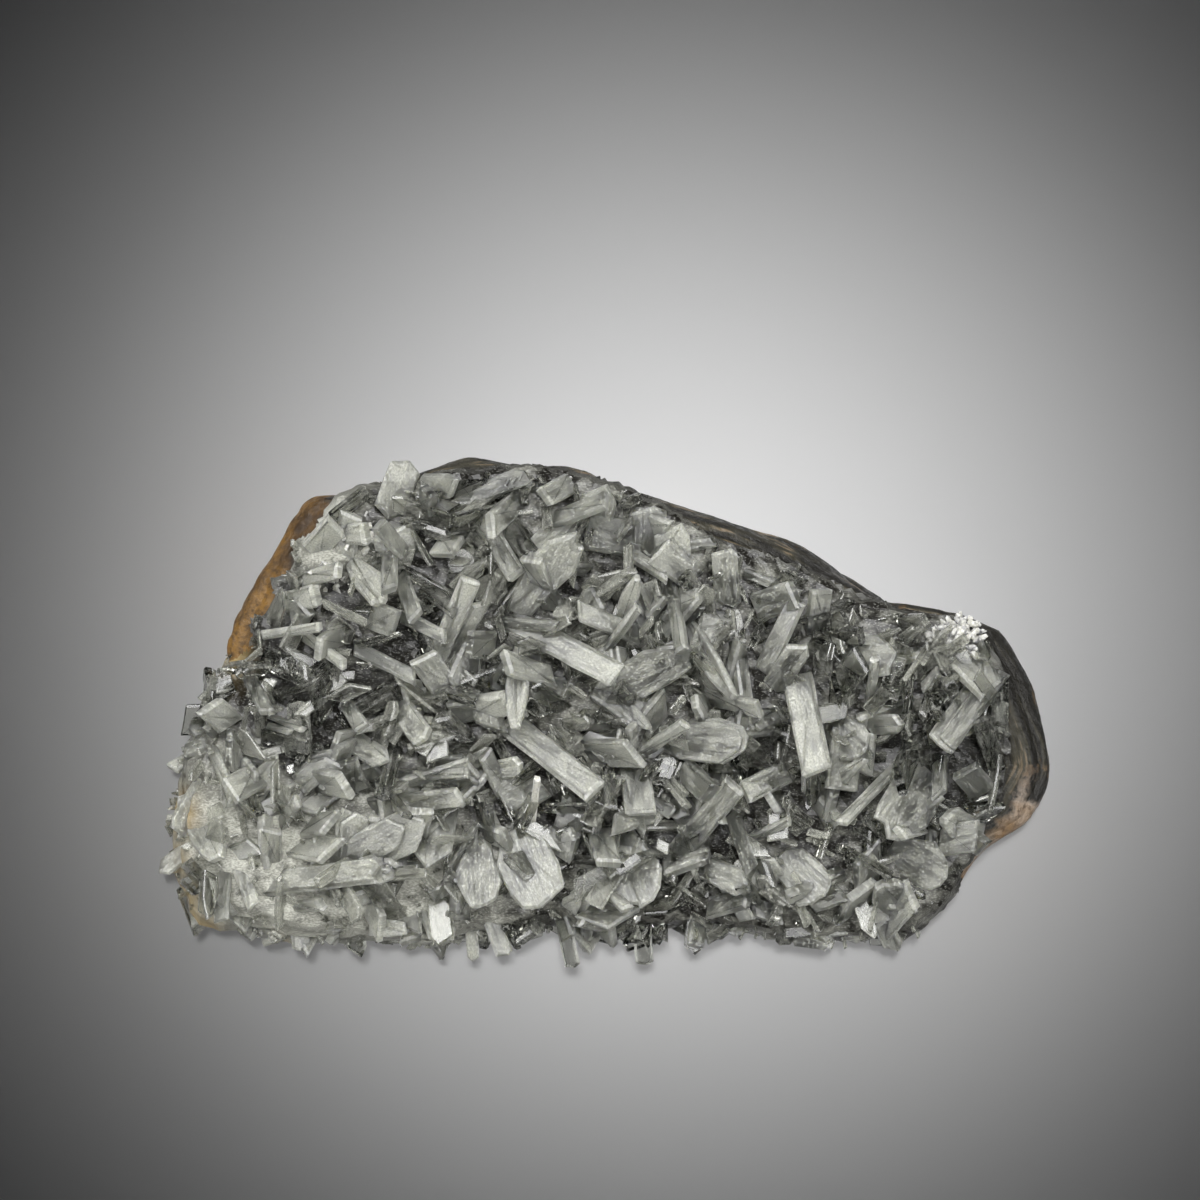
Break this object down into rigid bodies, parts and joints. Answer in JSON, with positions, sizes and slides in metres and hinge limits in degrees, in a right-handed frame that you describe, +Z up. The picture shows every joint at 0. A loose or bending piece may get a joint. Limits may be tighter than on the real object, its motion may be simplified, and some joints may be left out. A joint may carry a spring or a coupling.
{
  "type": "bladed barite crystal specimen on wall rock",
  "caption": "Loose slab of dark banded wall rock with a dense mat of clear grey bladed barite crystals on its top, spilling over two edges.",
  "frame": {"origin": "centre of the flat broken back that the specimen lies on, under the middle of its bounding box", "axes": "+X along the long axis, +Y towards the bare rock edge, +Z up out of the crystals"},
  "size_m": [0.1115, 0.0643, 0.0291],
  "materials": {
    "wall_rock": "rough, banded dark grey and olive, with an ochre rind on the broken edges",
    "barite": "glassy to frosted, grey white, milky in places"
  },
  "bodies": {
    "root": {"matrix_rock": "wall_rock", "barite_crystals": "barite"}
  },
  "joints": []
}
